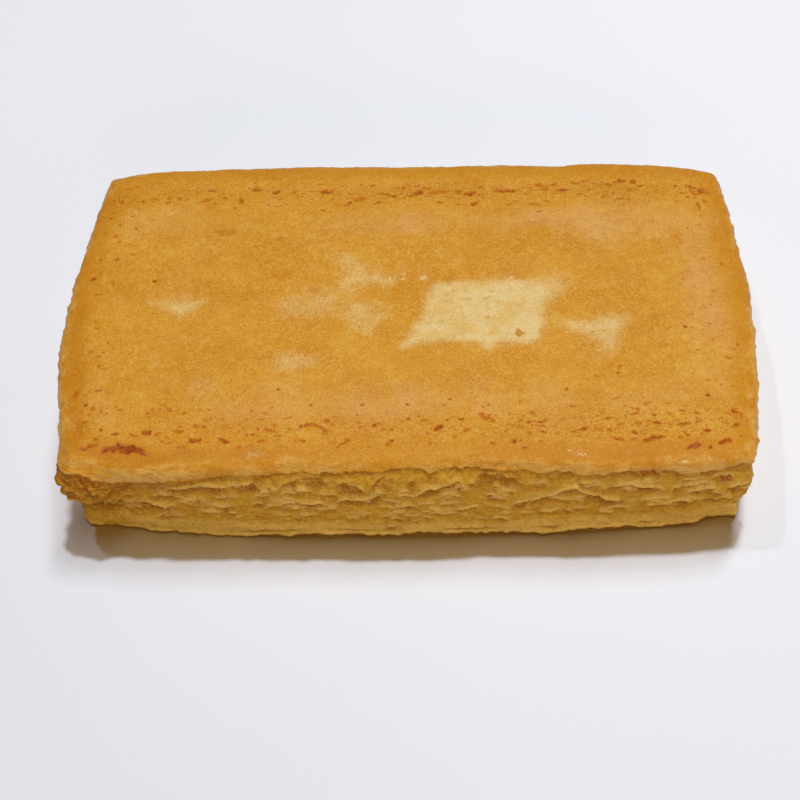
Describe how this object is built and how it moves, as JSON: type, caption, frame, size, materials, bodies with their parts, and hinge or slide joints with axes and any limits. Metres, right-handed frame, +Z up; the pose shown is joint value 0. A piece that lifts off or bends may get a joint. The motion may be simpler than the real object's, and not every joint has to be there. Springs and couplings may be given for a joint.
{
  "type": "cheesecake bar",
  "caption": "Baked cheesecake bar, cushion-shaped in plan, with a smooth golden top crust, a flat base and flaky layered sides.",
  "frame": {"origin": "middle of the bar's box, on the surface that it rests on", "axes": "+X along the bar's length, +Y from the shown long side to the back, +Z up from the base to the top crust"},
  "size_m": [0.1108, 0.0658, 0.0182],
  "materials": {
    "baked_crust": "golden baked crust, paler and flaky at the sides, faintly oily sheen"
  },
  "bodies": {
    "root": {"cheesecake_bar": "baked_crust"}
  },
  "joints": []
}
